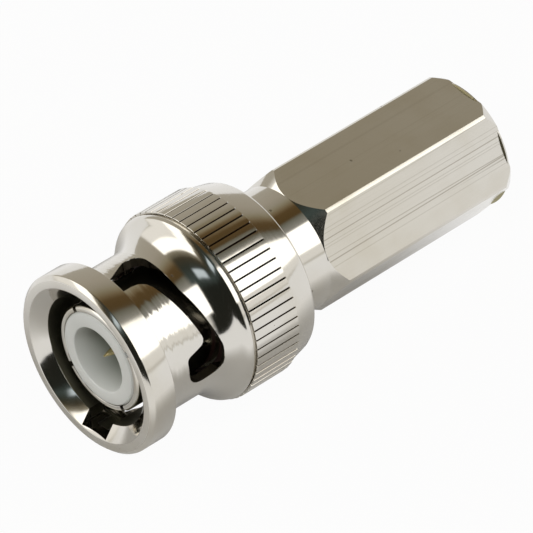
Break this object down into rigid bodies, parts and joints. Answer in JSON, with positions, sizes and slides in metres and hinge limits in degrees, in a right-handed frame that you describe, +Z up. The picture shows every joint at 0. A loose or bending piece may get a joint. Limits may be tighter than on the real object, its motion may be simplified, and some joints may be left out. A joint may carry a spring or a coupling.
{
  "type": "twist-on bayonet coaxial plug",
  "caption": "Coaxial bayonet plug: knurled coupling nut with cam slots on a hexagonal body that twists onto the cable.",
  "frame": {"origin": "centre of the bounding box's bottom, under the plug's axis, with the plug lying on its side", "axes": "+X along the axis from the mating mouth to the cable end, +Z up through a flat of the hexagon"},
  "size_m": [0.0356, 0.0144, 0.0145],
  "materials": {
    "plated_nut": "polished",
    "plated_body": "satin",
    "plated_contact": "polished",
    "white_plastic": "satin",
    "gold_pin": "polished",
    "spring_metal": "satin",
    "gasket_rubber": "matte"
  },
  "bodies": {
    "plug_body": {"hex_body": "plated_body", "outer_contact": "plated_contact", "front_insulator": "white_plastic", "rear_insulator": "white_plastic", "centre_pin": "gold_pin", "gasket": "gasket_rubber", "wave_washer_front": "spring_metal", "wave_washer_rear": "spring_metal"},
    "slip_ring": {"slip_washer": "spring_metal"},
    "nut": {"coupling_nut": "plated_nut"}
  },
  "joints": [
    {"name": "nut_slide", "type": "slide", "parent": "plug_body", "child": "slip_ring", "axis": [-1, 0, 0], "range_m": [0, 0.0015], "stiffness_N_per_m": 6000, "deforming": ["wave_washer_front", "wave_washer_rear"]},
    {"name": "nut_spin", "type": "hinge", "parent": "slip_ring", "child": "nut", "pos_m": [-0.0102, 0, 0.00725], "axis": [1, 0, 0], "continuous": true}
  ]
}
